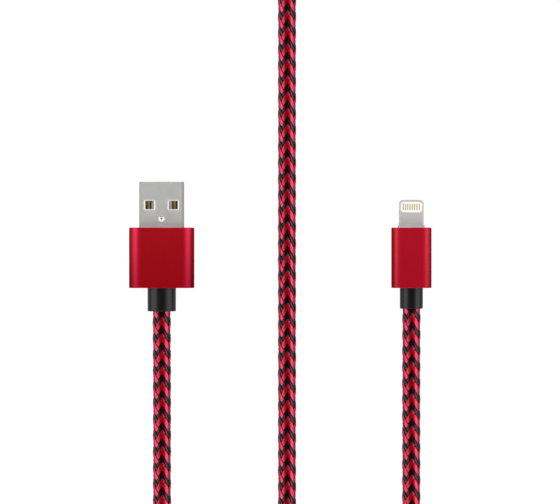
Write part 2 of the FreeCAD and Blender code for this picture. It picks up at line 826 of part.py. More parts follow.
def connector_pieces():
    left = connector_x - board_pad_offset
    right = connector_x + board_pad_offset
    upper = connector_axis + board_thickness / 2
    beads = [solder(x, board_rear, upper) for x in (left, right)]
    beads += [flipped(solder(x, board_rear, upper)) for x in (left, right)]
    pieces = {
        "connector_tip_frame": connector_tip_frame(),
        "connector_insert": connector_insert(),
        "connector_front_contacts": Part.makeCompound(tip_contacts(1)),
        "connector_back_contacts": Part.makeCompound(tip_contacts(-1)),
        "connector_board": connector_board(),
        "connector_chip": connector_chip(),
        "connector_capacitors": Part.makeCompound(connector_capacitors()),
        "connector_shield_can": connector_shield_can(),
        "connector_solder_joints": Part.makeCompound(beads),
        "connector_wire_red": connector_wire(left, -1, 1),
        "connector_wire_white": connector_wire(left, -1, -1),
        "connector_wire_green": connector_wire(right, 1, -1),
        "connector_wire_black": connector_wire(right, 1, 1),
        "connector_inner_mould": connector_inner_mould(),
        "connector_housing": housing(connector_housing_width, connector_housing_thickness,
                                     connector_housing_corner, connector_housing_wall,
                                     connector_collar_diameter, connector_housing_rear,
                                     connector_housing_front, connector_x, connector_axis),
        "connector_collar": collar(connector_collar_diameter, connector_rear,
                                   connector_pocket_rear, connector_x, connector_axis),
        "connector_crimp": sleeve(crimp_diameter, jacket_diameter, connector_pocket_rear,
                                  connector_pocket_rear + crimp_length,
                                  connector_x, connector_axis),
    }
    pieces.update(cord_end("connector", connector_rear, connector_pocket_rear,
                           connector_jacket_front, connector_core_front,
                           connector_x, connector_axis))
    return pieces


def flipped(shape):
    """The same piece under the board, turned over about the plug's axis."""
    turned = shape.copy()
    turned.rotate(Vector(connector_x, 0, connector_axis), Vector(0, 1, 0), 180)
    return turned


def cord_pieces():
    lead_path = tangent_path(lead_points, "lead")
    tail_path = tangent_path(tail_points, "tail")
    loops = hank_path()
    pieces = {
        "cord_lead": tube(lead_path, cord_diameter, Vector(0, 1, 0)),
        "cord_hank": tube(loops, cord_diameter, Vector(0, 1, 0)),
        "cord_tail": tube(tail_path, cord_diameter, Vector(0, 1, 0)),
        "hank_tie": hank_tie(),
    }
    check_tube("cord_lead", pieces["cord_lead"], lead_path)
    check_tube("cord_hank", pieces["cord_hank"], loops)
    check_tube("cord_tail", pieces["cord_tail"], tail_path)
    print("cord_hank least gap to itself %.2f" % least_gap(loops))
    print("free cord %.1f" % (lead_path.Length + loops.Length + tail_path.Length))
    return pieces


os.makedirs("parts", exist_ok=True)
pieces = {}
pieces.update(usb_pieces())
pieces.update(cord_pieces())
pieces.update(connector_pieces())
for name, piece in pieces.items():
    if not piece.isValid() or piece.Volume <= 0:
        print("check", name, piece.isValid(), piece.Volume)
    piece.exportStep("parts/" + name + ".step")
print(len(pieces), "pieces written")
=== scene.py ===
# %% [markdown]
# # A braided charging cable
#
# The object is a phone cable lying on a pale table, seen from straight above:
# a USB plug at the left, an eight-pin plug at the right, and one long red and
# black cord between them. The rigid pieces come ready made as the packed
# frame, at their real size in metres. This script adds what a frame can't
# hold: the braid, the fabric strap and the finish of every surface.

# %% Load the frame
import math

import bpy
import numpy as np
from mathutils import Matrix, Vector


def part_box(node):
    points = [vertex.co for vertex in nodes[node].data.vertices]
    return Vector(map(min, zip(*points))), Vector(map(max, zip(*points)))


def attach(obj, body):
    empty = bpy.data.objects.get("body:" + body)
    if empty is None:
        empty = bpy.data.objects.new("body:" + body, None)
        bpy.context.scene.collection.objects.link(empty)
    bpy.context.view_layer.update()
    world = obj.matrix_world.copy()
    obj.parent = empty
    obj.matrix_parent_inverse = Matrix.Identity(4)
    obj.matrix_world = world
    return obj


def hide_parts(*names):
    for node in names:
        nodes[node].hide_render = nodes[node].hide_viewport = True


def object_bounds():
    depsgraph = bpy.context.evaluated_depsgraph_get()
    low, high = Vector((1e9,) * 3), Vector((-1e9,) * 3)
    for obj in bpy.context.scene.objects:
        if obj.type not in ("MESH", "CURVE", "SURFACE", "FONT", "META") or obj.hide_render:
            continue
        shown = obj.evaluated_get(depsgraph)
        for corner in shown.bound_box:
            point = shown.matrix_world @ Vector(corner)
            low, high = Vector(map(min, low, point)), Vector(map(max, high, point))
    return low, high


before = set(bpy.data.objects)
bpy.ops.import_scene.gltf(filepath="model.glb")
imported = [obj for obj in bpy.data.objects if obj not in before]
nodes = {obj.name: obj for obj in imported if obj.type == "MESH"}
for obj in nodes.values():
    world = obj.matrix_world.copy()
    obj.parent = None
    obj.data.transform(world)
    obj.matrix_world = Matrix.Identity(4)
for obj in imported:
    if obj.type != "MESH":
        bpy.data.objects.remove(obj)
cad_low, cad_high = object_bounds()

MM = 0.001
scene = bpy.context.scene
size_mm = (cad_high - cad_low) / MM
print("frame:", len(nodes), "pieces,", " x ".join("%.1f" % side for side in size_mm), "mm")

# %% [markdown]
# ## The camera
#
# The photograph looks straight down and shows no perspective. So the camera has
# a 200 mm lens, and its distance follows from how many pixels a millimetre
# takes. An orthographic camera would do as well, but a long lens keeps the
# slight depth of a real picture.

# %% Place the camera over the table
PIXELS_PER_MM = 3.7
IMAGE_WIDTH, IMAGE_HEIGHT = 560, 504
USB_AXIS_PIXEL = (161.75, 246.5)
LENS_MM, SENSOR_MM = 200.0, 36.0

usb_low, usb_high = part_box("usb_housing")
usb_axis = (usb_low.z + usb_high.z) / 2
view_width = IMAGE_WIDTH / PIXELS_PER_MM * MM
camera_height = usb_axis + view_width * LENS_MM / SENSOR_MM
camera_x = (IMAGE_WIDTH / 2 - USB_AXIS_PIXEL[0]) / PIXELS_PER_MM * MM
camera_y = (USB_AXIS_PIXEL[1] - IMAGE_HEIGHT / 2) / PIXELS_PER_MM * MM

lens = bpy.data.cameras.new("camera")
lens.lens, lens.sensor_width = LENS_MM, SENSOR_MM
camera = bpy.data.objects.new("camera", lens)
camera.location = (camera_x, camera_y, camera_height)
scene.collection.objects.link(camera)
scene.camera = camera
scene.view_settings.view_transform = "Standard"
print("camera %.3f m above the table, over (%.1f, %.1f) mm" % (
    camera_height, camera_x / MM, camera_y / MM))

# %% [markdown]
# ## The cord's route
#
# A cord has one fixed length, so its route is settled before its looks. It
# leaves the USB plug, drops to the table, bends below the view, runs up
# through the picture, and beyond the top edge its spare length is folded into
# a hank held by a strap. From there it comes down the right side and bends up
# into the eight-pin plug. The points are the corners that the cord goes round:
# a smooth spline of order 3 passes inside each of them, as a limp cord does.

# %% List the route's corners on the table
# Heights of the cord's middle over the table, in metres
TABLE = 0.00245
USB_EXIT, CONNECTOR_EXIT = 0.0042, 0.0035
HANK_FLOOR, HANK_TOP = 0.00335, 0.00855
# Places up and across the picture
FIRST_BEND, LAST_BEND, HANK_START = -0.088, -0.092, 0.08055
MIDDLE_X, FAR_X, CONNECTOR_X = 0.03386, 0.1125, 0.0675

lead_route = [
    (0.0, -0.0175, USB_EXIT),
    (0.0, -0.0235, USB_EXIT),
    (0.0, -0.0360, TABLE),
    (0.0, -0.0540, TABLE),
    (0.0, FIRST_BEND, TABLE),
    (MIDDLE_X, FIRST_BEND, TABLE),
    (MIDDLE_X, -0.0540, TABLE),
    (MIDDLE_X, 0.0440, TABLE),
    (MIDDLE_X, 0.0650, HANK_FLOOR),
    (MIDDLE_X, HANK_START, HANK_FLOOR),
]
tail_route = [
    (FAR_X, HANK_START, HANK_TOP),
    (FAR_X, 0.0620, HANK_TOP),
    (0.1136, 0.0270, TABLE),
    (0.1144, -0.0280, TABLE),
    (0.1120, LAST_BEND, TABLE),
    (CONNECTOR_X, LAST_BEND, TABLE),
    (CONNECTOR_X, -0.0470, TABLE),
    (CONNECTOR_X, -0.0340, TABLE),
    (CONNECTOR_X, -0.0230, CONNECTOR_EXIT),
    (CONNECTOR_X, -0.0168, CONNECTOR_EXIT),
]
print("route:", len(lead_route), "corners to the hank and", len(tail_route), "after it")

# %% [markdown]
# ## The hank's turns
#
# The put-away length makes one and a half loops, drawn in at the waist where
# the strap holds them. A loop is eight arcs: two at each rounded end and two
# on each side of the waist. A loop like this could be drawn by hand, but a
# formula keeps all its arcs tangent. Each arc is cut in equal steps, and the
# corner of each step lies just outside the arc, where the tangents at its ends
# meet. That is exactly the point that an order 3 spline needs.

# %% Work out the hank's corners
FOLD_RADIUS = 0.0142
WAIST = 0.0053 / 2
CORD_DIAMETER = 0.0047
HANK_LOWER_EDGE = 0.0687
HANK_CENTRE = ((MIDDLE_X + FAR_X) / 2, HANK_LOWER_EDGE + FOLD_RADIUS + CORD_DIAMETER / 2)
FOLD_STEPS, FLANK_STEPS = 4, 2
CLIMB_ARC = 6
QUARTER = math.pi / 2

reach = (FAR_X - MIDDLE_X) / 2 - FOLD_RADIUS
flank = (reach ** 2 + WAIST ** 2 - FOLD_RADIUS ** 2) / (2 * (FOLD_RADIUS - WAIST))
lean = math.acos((WAIST + flank) / (flank + FOLD_RADIUS))


def half_loop(side):
    """The arcs from one rounded end to the other, as centre, radius, start and sweep."""
    turned = 0 if side > 0 else math.pi
    return [
        (-side * reach, 0, FOLD_RADIUS, turned + math.pi, -(QUARTER + lean), FOLD_STEPS),
        (0, side * (WAIST + flank), flank, turned - QUARTER - lean, lean, FLANK_STEPS),
        (0, side * (WAIST + flank), flank, turned - QUARTER, lean, FLANK_STEPS),
        (side * reach, 0, FOLD_RADIUS, turned + QUARTER + lean, -(QUARTER + lean), FOLD_STEPS),
    ]


def hank_corners():
    """Corners outside the arcs, rising to the upper layer along the lower waist."""
    arcs = half_loop(1) + half_loop(-1) + half_loop(1)
    lengths = [radius * abs(sweep) for _, _, radius, _, sweep, _ in arcs]
    climb_start = sum(lengths[:CLIMB_ARC])
    climb_end = climb_start + lengths[CLIMB_ARC] + lengths[CLIMB_ARC + 1] / 3
    corners = []
    travelled = 0.0
    for (x, y, radius, start, sweep, steps), length in zip(arcs, lengths):
        outside = radius / math.cos(sweep / steps / 2)
        for step in range(steps):
            share = (step + 0.5) / steps
            angle = start + sweep * share
            along = travelled + length * share
            rise = min(1, max(0, (along - climb_start) / (climb_end - climb_start)))
            rise = rise * rise * (3 - 2 * rise)
            corners.append((HANK_CENTRE[0] + x + outside * math.cos(angle),
                            HANK_CENTRE[1] + y + outside * math.sin(angle),
                            HANK_FLOOR + (HANK_TOP - HANK_FLOOR) * rise))
        travelled += length
    return corners


route = lead_route + hank_corners() + tail_route
print("hank: %d corners, end loops %.1f mm wide" % (len(hank_corners()), 2 * FOLD_RADIUS / MM))

# %% [markdown]
# ## From corners to a smooth line
#
# Blender turns the corners into a smooth line by itself, as a NURBS spline.
# Order 3 has to be set after the points are added. The strands need that line
# as plain points, and a curve object with no bevel gives them: its mesh is
# just the line. The points are then spread evenly by length.

# %% Draw the spline and read it back
SPLINE_STEPS = 48
FINE_STEP = 0.0003


def nurbs_curve(name, points):
    curve = bpy.data.curves.new(name, "CURVE")
    curve.dimensions = "3D"
    curve.resolution_u = SPLINE_STEPS
    spline = curve.splines.new("NURBS")
    spline.points.add(len(points) - 1)
    for point, place in zip(spline.points, points):
        point.co = (*place, 1.0)
    spline.order_u = 3
    spline.use_endpoint_u = True
    return bpy.data.objects.new(name, curve)


def read_at(stations, along, values):
    """What a line's values are at other distances along it."""
    return np.stack([np.interp(stations, along, values[:, k]) for k in range(3)], axis=1)


def evenly(line, step):
    """The same line with points that are evenly spread along it, and their distances."""
    gaps = np.linalg.norm(np.diff(line, axis=0), axis=1)
    along = np.concatenate([[0], np.cumsum(gaps)])
    stations = np.linspace(0, along[-1], int(along[-1] / step) + 1)
    return read_at(stations, along, line), stations


bare_route = nurbs_curve("bare_route", route)
route_mesh = bpy.data.meshes.new_from_object(bare_route)
spline_points = np.array([vertex.co for vertex in route_mesh.vertices])
bpy.data.meshes.remove(route_mesh)
cord_line, cord_along = evenly(spline_points, FINE_STEP)
cord_length = cord_along[-1]
print("cord: %.1f mm long, lowest middle %.2f mm" % (
    cord_length / MM, cord_line[:, 2].min() / MM))

# %% [markdown]
# ## How a sixteen-strand braid is laid
#
# The machine carries eight strands round the cord one way and eight the other
# way. Each strand goes over two that come towards it, then under two. Because
# the carriers run on fixed tracks, it is the angle round the cord that decides
# which way is on top: a quarter turn holds one zone of each. Red and black
# strands alternate in both directions, and where two of one colour cross on
# top of the cord, the arrow pattern of the photograph appears.
#
# On a real cord the strand on top runs steeper than the one below, so the
# angle gets a small wave. The height gets a wave with flat tops. The red yarn
# is fuller than the black one: its strands are wider and stand higher.

# %% Set the braid's sizes
STRANDS_EACH_WAY = 8
LAY_LENGTH = 0.01755
RINGS_PER_TURN = 32
ZONES_PER_TURN = 4
MIDDLE_RADIUS = 0.00192
HEIGHT_WAVE = 0.00016
ANGLE_WAVE = 0.42
YARN_SIZES = [
    {"width": 0.00134, "rise": 0.00028, "sole": 0.00014, "lift": 0.00013},
    {"width": 0.00096, "rise": 0.00024, "sole": 0.00012, "lift": 0.00004},
]
STRAND_STEP = LAY_LENGTH / STRANDS_EACH_WAY
ARROW_PITCH = 2 * STRAND_STEP
ZONE_SHIFT = math.radians(11.25)
print("braid: strands %.2f mm apart along the cord, one arrow every %.2f mm" % (
    STRAND_STEP / MM, ARROW_PITCH / MM))

# %% [markdown]
# ## Where the arrows sit
#
# In the photograph each straight stretch shows the arrows at its own place.
# One dark diamond is measured on each stretch, and the braid is stretched or
# squeezed a little out of view to meet it. All arrows also point up, although
# the cord comes down on the left and goes up in the middle. Turning a cord
# round turns its arrows round as well, so in the first bend the zones move on
# by one crossing.

# %% Fit the braid to the three straight stretches
VIEW_BOTTOM, VIEW_TOP = -0.070, 0.068
LEFT_DIAMOND, MIDDLE_DIAMOND, RIGHT_DIAMOND = 4.6, 6.7, 1.1


def along_at(x, y, after, before):
    """The distance along the cord where it passes nearest to a place on the table."""
    inside = (cord_along >= after) & (cord_along <= before)
    away = np.hypot(cord_line[:, 0] - x, cord_line[:, 1] - y)
    return cord_along[np.where(inside, away, np.inf).argmin()]


def phase_shift(diamond, along, heading):
    """How far the braid must slide along the cord for a diamond to meet its pixel row.

    Along is where the cord crosses the view's bottom. Heading is 1 up the picture, -1 down.
    """
    pitch_pixels = ARROW_PITCH / MM * PIXELS_PER_MM
    bottom_row = USB_AXIS_PIXEL[1] - VIEW_BOTTOM / MM * PIXELS_PER_MM
    from_diamond = (bottom_row - diamond) % pitch_pixels
    to_diamond = heading * from_diamond / PIXELS_PER_MM * MM
    slide = (STRAND_STEP - to_diamond - along + ARROW_PITCH / 2) % ARROW_PITCH
    return slide - ARROW_PITCH / 2


half_way = cord_length / 2
left_end = along_at(0.0, VIEW_BOTTOM, 0, half_way)
middle_start = along_at(MIDDLE_X, VIEW_BOTTOM, 0, half_way)
middle_end = along_at(MIDDLE_X, VIEW_TOP, 0, half_way)
right_start = along_at(CONNECTOR_X, VIEW_BOTTOM, half_way, cord_length)
shift_knots = [0, left_end, middle_start, middle_end, right_start, cord_length]
shifts = np.repeat([phase_shift(LEFT_DIAMOND, left_end, -1),
                    phase_shift(MIDDLE_DIAMOND, middle_start, 1),
                    phase_shift(RIGHT_DIAMOND, right_start, 1)], 2)
print("braid slides by", ", ".join("%.2f" % (s / MM) for s in shifts[1::2]), "mm")

# %% [markdown]
# ## Rings along the cord
#
# Every strand is a chain of rings. The rings sit at equal steps of the braid,
# so that each strand is cut at the same angles and all its waves look alike.
# At each ring the cord has a direction, an upward and a sideways axis. Taking
# the upward axis from the world's, and not from the ring before, keeps the
# braid from twisting in the bends.

# %% Work out the rings' places and axes
braid_along = cord_along + np.interp(cord_along, shift_knots, shifts)
ring_step = LAY_LENGTH / RINGS_PER_TURN
first_ring = math.ceil(braid_along[0] / ring_step)
last_ring = math.floor(braid_along[-1] / ring_step)
ring_braid = np.arange(first_ring, last_ring + 1) * ring_step
ring_braid = np.concatenate([[braid_along[0]], ring_braid, [braid_along[-1]]])
ring_along = np.interp(ring_braid, braid_along, cord_along)


def unit(vectors):
    return vectors / np.linalg.norm(vectors, axis=1, keepdims=True)


cord_ahead = unit(np.gradient(cord_line, axis=0))
ring_centre = read_at(ring_along, cord_along, cord_line)
ring_ahead = unit(read_at(ring_along, cord_along, cord_ahead))
ring_side = unit(np.cross(ring_ahead, (0.0, 0.0, 1.0)))
ring_up = np.cross(ring_side, ring_ahead)
print("rings:", len(ring_centre), "of", "%.2f mm" % (ring_step / MM))

# %% [markdown]
# ## One strand
#
# A strand's middle follows a helix with the two waves. Its section is a ribbon
# with a flat top and crisp sides, because a strand is a pair of fine yarns
# that spread out under pull. The groove between the two is too fine for faces,
# so the finish makes it. The section lies across the strand's own direction,
# not across the cord's, so that the ribbon keeps its width where it runs
# slanted. Curve objects with a bevel could make it too, but writing the rings
# directly keeps the faces few and even.

# %% Make the strand's rings
SECTION = [(-0.50, 0.0), (-0.44, 0.84), (-0.22, 1.0), (0.22, 1.0), (0.44, 0.84),
           (0.50, 0.0), (0.0, -1.0)]
ZONE_STEP_AT = (left_end + middle_start) / 2
ZONE_STEP_LENGTH = STRAND_STEP / 2

zone_share = np.clip((ring_along - ZONE_STEP_AT) / ZONE_STEP_LENGTH + 0.5, 0, 1)
zone_centre = ZONE_SHIFT * (1 - 2 * zone_share)


def strand_rings(way, index):
    """The places of one strand's ring corners. Way is 1 or -1, for the two directions."""
    yarn = YARN_SIZES[index % 2]
    turned = way * 2 * math.pi * ring_braid / LAY_LENGTH
    turned = turned + 2 * math.pi * index / STRANDS_EACH_WAY
    wave = ZONES_PER_TURN * (turned - zone_centre)
    angle = turned - way * ANGLE_WAVE / ZONES_PER_TURN * np.sin(wave)
    top = np.cos(ZONES_PER_TURN * (angle - zone_centre))
    radius = MIDDLE_RADIUS + yarn["lift"] + way * HEIGHT_WAVE * np.sin(QUARTER * top)
    slope = np.gradient(angle, ring_braid) * radius
    along_share = 1 / np.sqrt(1 + slope ** 2)
    round_share = slope * along_share
    corners = []
    for across, height in SECTION:
        aside = across * yarn["width"]
        lift = height * yarn["rise" if height > 0 else "sole"]
        corner_angle = angle + aside * along_share / radius
        corner_radius = radius + lift
        forward = -aside * round_share
        corners.append(ring_centre + ring_ahead * forward[:, None]
                       + ring_up * (corner_radius * np.cos(corner_angle))[:, None]
                       + ring_side * (corner_radius * np.sin(corner_angle))[:, None])
    return np.stack(corners, axis=1)


sample = strand_rings(1, 0)
print("strand:", sample.shape[0], "rings of", sample.shape[1], "corners")

# %% [markdown]
# ## Meshes from rings
#
# Strands of one colour share a mesh, as they share a yarn. Faces join each
# ring to the next, and each end is closed. Two maps come with it: one says how
# far along and across its own strand a place is, which the yarn's finish uses,
# and one lays the strands out in rows with no overlap, so that their colours
# can be stored in a picture when the model is exported.
#
# Every strand also carries a tone. The strands that go round one way are all
# glossier than the others and painted paler, a painted highlight, because the
# filaments of a yarn are twisted: one way they lie along the strand's slope and
# shine, the other way they lie across it. A smaller part of the tone is chance, as in dyed yarns.

# %% Objects, and faces round a tube
SHARP_ANGLE = math.radians(40)


def add_object(name, mesh, smooth=True):
    made = bpy.data.objects.new(name, mesh)
    scene.collection.objects.link(made)
    if smooth:
        mesh.shade_smooth()
        mesh.set_sharp_from_angle(angle=SHARP_ANGLE)
    return made


def tube_faces(rings, sides, first):
    """Quads round a tube, wound to face outwards, and its two closed ends."""
    ring = np.arange(rings - 1)[:, None]
    side = np.arange(sides)[None, :]
    following = (side + 1) % sides
    here, ahead = first + ring * sides, first + (ring + 1) * sides
    quads = np.stack([here + side, here + following, ahead + following, ahead + side], axis=-1)
    start = list(range(first + sides - 1, first - 1, -1))
    end = list(range(first + (rings - 1) * sides, first + rings * sides))
    return quads.reshape(-1, 4).tolist() + [start, end]


print("a tube of 2 rings with 7 corners has", len(tube_faces(2, 7, 0)), "faces")

# %% Two maps for a strand
ROWS_PER_STRAND = 7
ROW_FILL = 0.86
ROW_MARGIN, END_MARGIN = 0.01, 0.002


def strand_maps(rings, sides, row):
    """Both maps' places for one strand's face corners, in the order of its faces."""
    ring = np.repeat(np.arange(rings - 1), sides)[:, None]
    side = np.tile(np.arange(sides), rings - 1)[:, None]
    ring_of = ring + np.array([[0, 0, 1, 1]])
    side_of = side + np.array([[0, 1, 1, 0]])
    across_of = np.array([2 * across for across, _ in SECTION])[side_of % sides]
    yarn = np.stack([ring_of * ring_step / MM, across_of], axis=-1).reshape(-1, 2)
    row_rings = math.ceil((rings - 1) / ROWS_PER_STRAND)
    piece = ring // row_rings
    across = (ring_of - piece * row_rings) / row_rings
    total = ROWS_PER_STRAND * STRANDS_EACH_WAY
    up = (row * ROWS_PER_STRAND + piece + 0.5 + (side_of / sides - 0.5) * ROW_FILL) / total
    inside = ROW_MARGIN + (1 - 2 * ROW_MARGIN) * across
    rows = np.stack([inside, up], axis=-1).reshape(-1, 2)
    ends = np.zeros((2 * sides, 2))
    return np.concatenate([yarn, ends]), np.concatenate([rows, ends + (END_MARGIN, rows[0, 1])])


print("maps: each strand is laid out in", ROWS_PER_STRAND, "rows")

# %% Build the two braids
TONE_SPREAD = 0.25
TONE_SEED = 7


def braid(name, first_index):
    """All strands of one colour: every second one of both ways."""
    points, faces, yarns, rows, tones = [], [], [], [], []
    ways = [(way, index) for way in (1, -1)
            for index in range(first_index, STRANDS_EACH_WAY, 2)]
    chance = np.random.default_rng(TONE_SEED + first_index).uniform(0, 1, len(ways))
    # painted highlight: the strands of one way get the paler tones, the rest is chance
    tone_of = [TONE_SPREAD * share + (1 - TONE_SPREAD if way < 0 else 0)
               for share, (way, _) in zip(chance, ways)]
    for row, (way, index) in enumerate(ways):
        rings = strand_rings(way, index)
        count, sides = rings.shape[:2]
        faces += tube_faces(count, sides, len(points) * count * sides)
        points.append(rings.reshape(-1, 3))
        yarn, laid_out = strand_maps(count, sides, row)
        yarns.append(yarn)
        rows.append(laid_out)
        tones.append(np.full(count * sides, tone_of[row]))
    mesh = bpy.data.meshes.new(name)
    mesh.from_pydata(np.concatenate(points).tolist(), [], faces)
    for map_name, places in (("yarn", yarns), ("OFBake", rows)):
        layer = mesh.uv_layers.new(name=map_name)
        layer.uv.foreach_set("vector", np.concatenate(places).astype(np.float32).ravel())
    tone = mesh.attributes.new("tone", "FLOAT", "POINT")
    tone.data.foreach_set("value", np.concatenate(tones).astype(np.float32))
    return add_object(name, mesh)


braid_red = braid("braid_red", 0)
braid_black = braid("braid_black", 1)
print("braids:", len(braid_red.data.polygons), "and", len(braid_black.data.polygons), "faces")

# %% [markdown]
# ## The jacket under the braid
#
# Between the strands a dark plastic jacket shows. It is the same spline, this
# time with a bevel, which is the quickest way to make a plain tube in Blender.
# A few steps a corner are enough, since only slivers of it are seen.

# %% Add the inner jacket
JACKET_RADIUS = 0.00168
JACKET_STEPS = 12

cord_jacket = nurbs_curve("cord_jacket", route)
cord_jacket.data.resolution_u = JACKET_STEPS
cord_jacket.data.bevel_depth = JACKET_RADIUS
cord_jacket.data.bevel_resolution = 2
cord_jacket.data.use_fill_caps = True
scene.collection.objects.link(cord_jacket)
print("jacket: %.2f mm across" % (2 * JACKET_RADIUS / MM))

# %% [markdown]
# ## The strap round the hank
#
# A short fabric strap with a hook and loop fastener holds the hank's waist. It
# is one long ribbon: it starts on the slope between the lower and the upper
# layer, goes once round all three runs of cord, and its free end lies back
# over its own start. So it is swept as a ribbon along that path, a thickness
# further out where it covers itself, with rounded edges all along.

# %% Lay the strap's path
STRAP_WIDTH, STRAP_THICKNESS = 0.006, 0.0006
STRAP_GAP = 0.0004
STRAP_TAIL = 0.009
TAIL_SHARES = np.linspace(0.1, 1, 5)
ARC_STEPS = 10

lower_near = np.array([HANK_CENTRE[1] - WAIST, HANK_FLOOR])
lower_far = np.array([HANK_CENTRE[1] + WAIST, HANK_FLOOR])
upper_far = np.array([HANK_CENTRE[1] + WAIST, HANK_TOP])
strap_radius = CORD_DIAMETER / 2 + STRAP_GAP + STRAP_THICKNESS / 2
slope_angle = math.atan2(*(upper_far - lower_near)[::-1])
slope_side = slope_angle + QUARTER


def arc_points(centre, radius, start, end):
    angles = np.linspace(start, end, ARC_STEPS)
    return centre + radius * np.stack([np.cos(angles), np.sin(angles)], axis=1)


outer_radius = strap_radius + STRAP_THICKNESS
slope_down = (lower_near - upper_far) / np.linalg.norm(lower_near - upper_far)
outer_start = arc_points(upper_far, outer_radius, QUARTER / 2, slope_side)
strap_path = np.concatenate([
    arc_points(upper_far, strap_radius, slope_side, slope_side)[:1],
    arc_points(lower_near, strap_radius, slope_side, 3 * QUARTER),
    arc_points(lower_far, strap_radius, 3 * QUARTER, 4 * QUARTER),
    arc_points(upper_far, strap_radius, 0, QUARTER / 2),
    outer_start,
    outer_start[-1] + slope_down * TAIL_SHARES[:, None] * STRAP_TAIL,
])
print("strap: %.1f mm of path" % (np.linalg.norm(np.diff(strap_path, axis=0), axis=1).sum() / MM))

# %% [markdown]
# The ribbon's section is a thin rectangle with rounded edges. The mesh gets a
# map in millimetres along and across, for the weave of the fabric.

# %% Sweep the ribbon
EDGE_POINTS = 4
STRAP_STEP = 0.0005


def ribbon_section(width, thickness):
    """Corners of a thin bar with half round edges, as across and up."""
    radius = thickness / 2
    section = []
    for side, start in ((1, QUARTER), (-1, -QUARTER)):
        for angle in np.linspace(start, start - 2 * QUARTER, EDGE_POINTS):
            section.append((side * (width / 2 - radius) + radius * math.cos(angle),
                            radius * math.sin(angle)))
    return section


def strap_mesh(name):
    line, _ = evenly(np.column_stack([strap_path, np.zeros(len(strap_path))]), STRAP_STEP)
    line = line[:, :2]
    ahead = unit(np.gradient(line, axis=0))
    outward = np.stack([ahead[:, 1], -ahead[:, 0]], axis=1)
    section = ribbon_section(STRAP_WIDTH, STRAP_THICKNESS)
    rings = []
    for across, up in section:
        place = line + outward * up
        rings.append(np.column_stack([np.full(len(line), HANK_CENTRE[0] + across), place]))
    rings = np.stack(rings, axis=1)
    count, sides = rings.shape[:2]
    mesh = bpy.data.meshes.new(name)
    mesh.from_pydata(rings.reshape(-1, 3).tolist(), [], tube_faces(count, sides, 0))
    layer = mesh.uv_layers.new(name="yarn")
    for loop in mesh.loops:
        ring, side = divmod(loop.vertex_index, sides)
        layer.uv[loop.index].vector = (ring * STRAP_STEP / MM, section[side][0] / MM)
    return mesh


hank_strap = add_object("hank_strap", strap_mesh("hank_strap"))
print("strap:", len(hank_strap.data.polygons), "faces")

# %% [markdown]
# ## Writing shader maths as sums
#
# A material is a small network of nodes. Wiring it by hand takes many lines
# and hides the idea, so one class wraps a socket: adding or multiplying two of
# them makes the Math node for it. Every other node comes from one method that
# is told its type, its settings and what goes into its sockets. Colours are
# mixed with a Mix node, because a Math node would turn them grey.

# %% A socket that can be used in sums
class Link:
    """The output of a node, which can be written in sums such as 1 - mask * 0.5."""

    def __init__(self, network, socket):
        self.network = network
        self.socket = socket

    def maths(self, operation, *values):
        return self.network.node("Math", {"operation": operation}, dict(enumerate(values)))

    def __add__(self, other):
        return self.maths("ADD", self, other)

    def __sub__(self, other):
        return self.maths("SUBTRACT", self, other)

    def __rsub__(self, other):
        return self.maths("SUBTRACT", other, self)

    def __mul__(self, other):
        return self.maths("MULTIPLY", self, other)

    def __abs__(self):
        return self.maths("ABSOLUTE", self)

    __radd__ = __add__
    __rmul__ = __mul__

    def step(self, low, high):
        """0 below low, 1 above high, and a soft step between them."""
        return self.network.node("MapRange", {"interpolation_type": "SMOOTHSTEP"},
                                 {"Value": self, "From Min": low, "From Max": high})

    def around(self, middle, swing):
        """A value that this pattern, which goes from 0 to 1, moves by a swing either way."""
        return middle - swing + self * (2 * swing)

    def wave(self):
        return self.maths("SINE", self)

    def fraction(self):
        """What is left of a number without its whole part."""
        return self.maths("FRACT", self)


print("sums make Math nodes")

# %% A network of nodes
class Network:
    """The nodes of a material or of the world, which all come from node()."""

    def __init__(self, tree):
        self.tree = tree

    def fill(self, node, sockets):
        for key, value in sockets.items():
            if isinstance(value, Link):
                self.tree.links.new(value.socket, node.inputs[key])
            else:
                node.inputs[key].default_value = value

    def node(self, kind, settings=None, sockets=None, output=0):
        made = self.tree.nodes.new("ShaderNode" + kind)
        for key, value in (settings or {}).items():
            setattr(made, key, value)
        self.fill(made, sockets or {})
        return Link(self, made.outputs[output])

    def parts(self, vector):
        """A vector's three numbers."""
        return [self.node("SeparateXYZ", {}, {0: vector}, output) for output in range(3)]

    def rays(self):
        """Two numbers, 1 or 0: seen straight by the camera, and mirrored or through glass."""
        camera, glossy, through = [self.node("LightPath", output="Is %s Ray" % kind)
                                   for kind in ("Camera", "Glossy", "Transmission")]
        return camera, glossy + through


print("a network wires its own sockets")

# %% [markdown]
# ## A finish
#
# A finish is one material round a Principled shader. What is the same all over
# a surface is set on the shader's own socket. Only what varies over the
# surface comes through nodes, into the colour, the roughness or the normal.
# Patterns are measured in millimetres from the place on the object, so they
# have their real size and need no unwrapping.

# %% The finish class
# A Mix node has sockets for numbers, vectors and colours. These are its colour ones.
MIX_FIRST, MIX_SECOND, MIX_RESULT = 6, 7, 2


